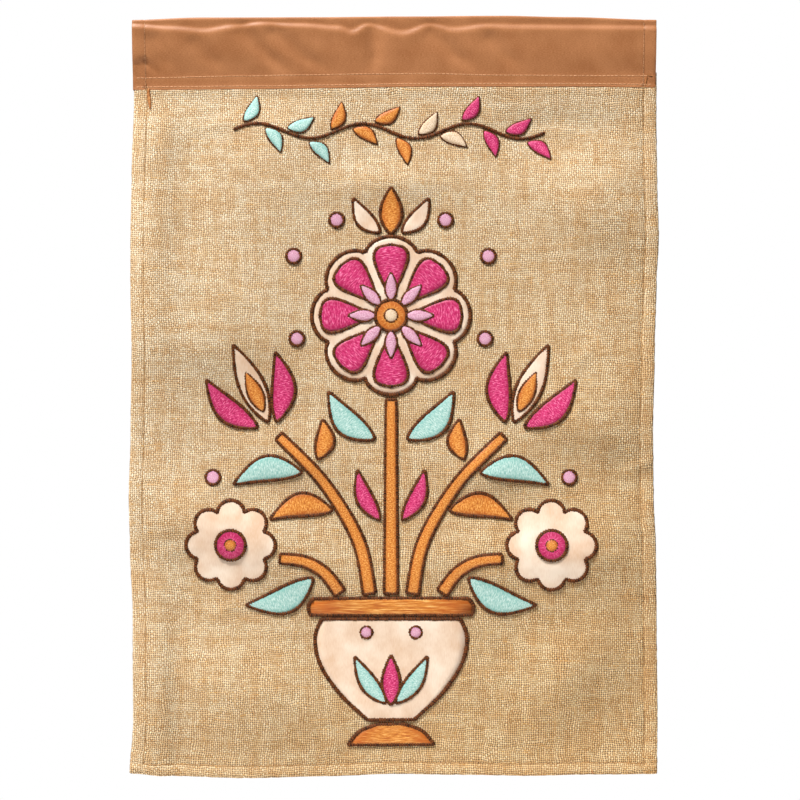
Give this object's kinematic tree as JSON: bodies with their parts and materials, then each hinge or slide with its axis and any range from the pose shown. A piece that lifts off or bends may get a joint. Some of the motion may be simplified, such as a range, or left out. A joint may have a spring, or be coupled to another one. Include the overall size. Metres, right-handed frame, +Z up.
{
  "type": "garden flag",
  "caption": "Hanging burlap garden flag with a satin rod sleeve and an appliqued and embroidered flower pot under a leaf garland.",
  "frame": {"origin": "middle of the rod line inside the sleeve, 5.5 mm under the sleeve's top", "axes": "+Z up the flag, +X to the right seen from the front, -Y out of the front"},
  "size_m": [0.3206, 0.0158, 0.4622],
  "materials": {
    "burlap": "matt open plain weave with slubs",
    "brown_satin": "soft satin sheen",
    "satin": "soft satin sheen",
    "pink_thread": "glossy embroidery thread",
    "pale_pink_thread": "glossy embroidery thread",
    "orange_thread": "glossy embroidery thread",
    "aqua_thread": "glossy embroidery thread",
    "brown_thread": "glossy embroidery thread"
  },
  "bodies": {
    "root": {"panel": "burlap", "sleeve": "brown_satin", "berry_1_left": "pale_pink_thread", "berry_1_right": "pale_pink_thread", "berry_2_left": "pale_pink_thread", "berry_2_right": "pale_pink_thread", "berry_3_left": "pale_pink_thread", "berry_3_right": "pale_pink_thread", "berry_4_left": "pale_pink_thread", "berry_4_right": "pale_pink_thread", "crown_middle": "orange_thread", "crown_side_left": "satin", "crown_side_right": "satin", "daisy_left": "satin", "daisy_right": "satin", "garland_leaf_1": "aqua_thread", "garland_leaf_10": "satin", "garland_leaf_11": "pink_thread", "garland_leaf_12": "pink_thread", "garland_leaf_13": "pink_thread", "garland_leaf_14": "pink_thread", "garland_leaf_2": "aqua_thread", "garland_leaf_3": "aqua_thread", "garland_leaf_4": "aqua_thread", "garland_leaf_5": "orange_thread", "garland_leaf_6": "orange_thread", "garland_leaf_7": "orange_thread", "garland_leaf_8": "orange_thread", "garland_leaf_9": "satin", "garland_vine": "brown_thread", "leaf_branch_left": "orange_thread", "leaf_branch_right": "orange_thread", "leaf_crown_left": "aqua_thread", "leaf_crown_right": "aqua_thread", "leaf_daisy_left": "aqua_thread", "leaf_daisy_right": "aqua_thread", "leaf_middle_left": "pink_thread", "leaf_middle_right": "pink_thread", "leaf_tulip_in_left": "orange_thread", "leaf_tulip_in_right": "orange_thread", "leaf_tulip_out_left": "aqua_thread", "leaf_tulip_out_right": "aqua_thread", "pot": "satin", "pot_foot": "orange_thread", "pot_rim": "orange_thread", "rosette": "satin", "stem_lower_left": "orange_thread", "stem_lower_right": "orange_thread", "stem_middle": "orange_thread", "stem_upper_left": "orange_thread", "stem_upper_right": "orange_thread", "tulip_heart_left": "satin", "tulip_heart_right": "satin", "tulip_inner_left": "pink_thread", "tulip_inner_right": "pink_thread", "tulip_outer_left": "pink_thread", "tulip_outer_right": "pink_thread"}
  },
  "joints": []
}
